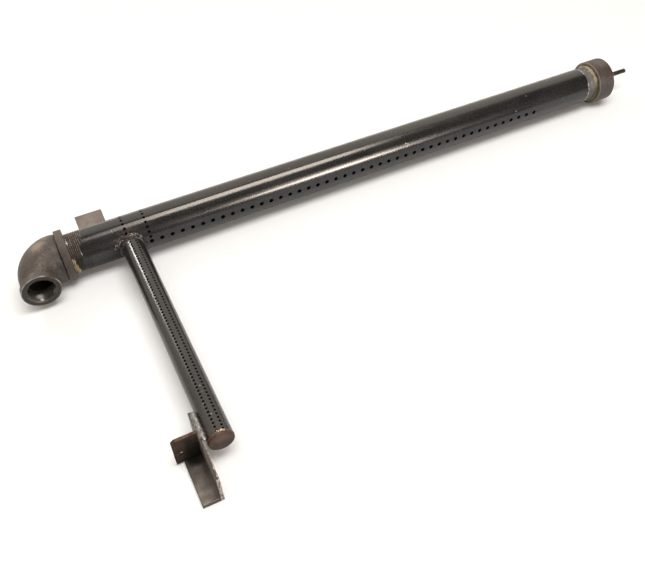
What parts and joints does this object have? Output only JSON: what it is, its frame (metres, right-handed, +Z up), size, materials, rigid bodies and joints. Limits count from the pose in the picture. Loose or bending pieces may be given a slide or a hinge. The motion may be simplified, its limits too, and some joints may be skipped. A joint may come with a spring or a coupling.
{
  "type": "gas oven burner",
  "caption": "Long perforated gas burner pipe with a reducing elbow at the inlet, a perforated side branch on a support angle, and a capped end with a locating pin.",
  "frame": {"origin": "centre of the inlet mouth of the reducing elbow", "axes": "+X runs along the main pipe from the elbow to the capped end, +Z is up with the crossing flame ports on top, and the inlet and the side branch both point to -Y"},
  "size_m": [0.9004, 0.4206, 0.0616],
  "materials": {
    "burner_pipe": "black steel pipe with mill scale, satin",
    "cast_fitting": "malleable iron with a dull brown-grey cast skin",
    "weld_metal": "rippled weld metal, partly heat tinted",
    "heat_tinted_steel": "steel plate with a brown heat tint",
    "pin_steel": "dark drawn steel rod",
    "bracket_steel": "hot-rolled steel, grey-brown, matte",
    "thread_sealant": "dried thread sealing compound, sandy yellow"
  },
  "bodies": {
    "root": {"main_pipe": "burner_pipe", "inlet_elbow": "cast_fitting", "branch_tube": "burner_pipe", "junction_weld": "weld_metal", "branch_end_disc": "heat_tinted_steel", "end_disc_weld": "weld_metal", "end_cap": "cast_fitting", "locating_pin": "pin_steel", "pin_weld": "weld_metal", "support_angle": "bracket_steel", "angle_weld": "weld_metal", "pilot_bracket": "heat_tinted_steel", "pilot_bracket_weld": "weld_metal", "rear_tab": "bracket_steel", "rear_tab_weld_top": "weld_metal", "rear_tab_weld_bottom": "weld_metal", "cap_sealant": "thread_sealant", "inlet_sealant": "thread_sealant"}
  },
  "joints": []
}
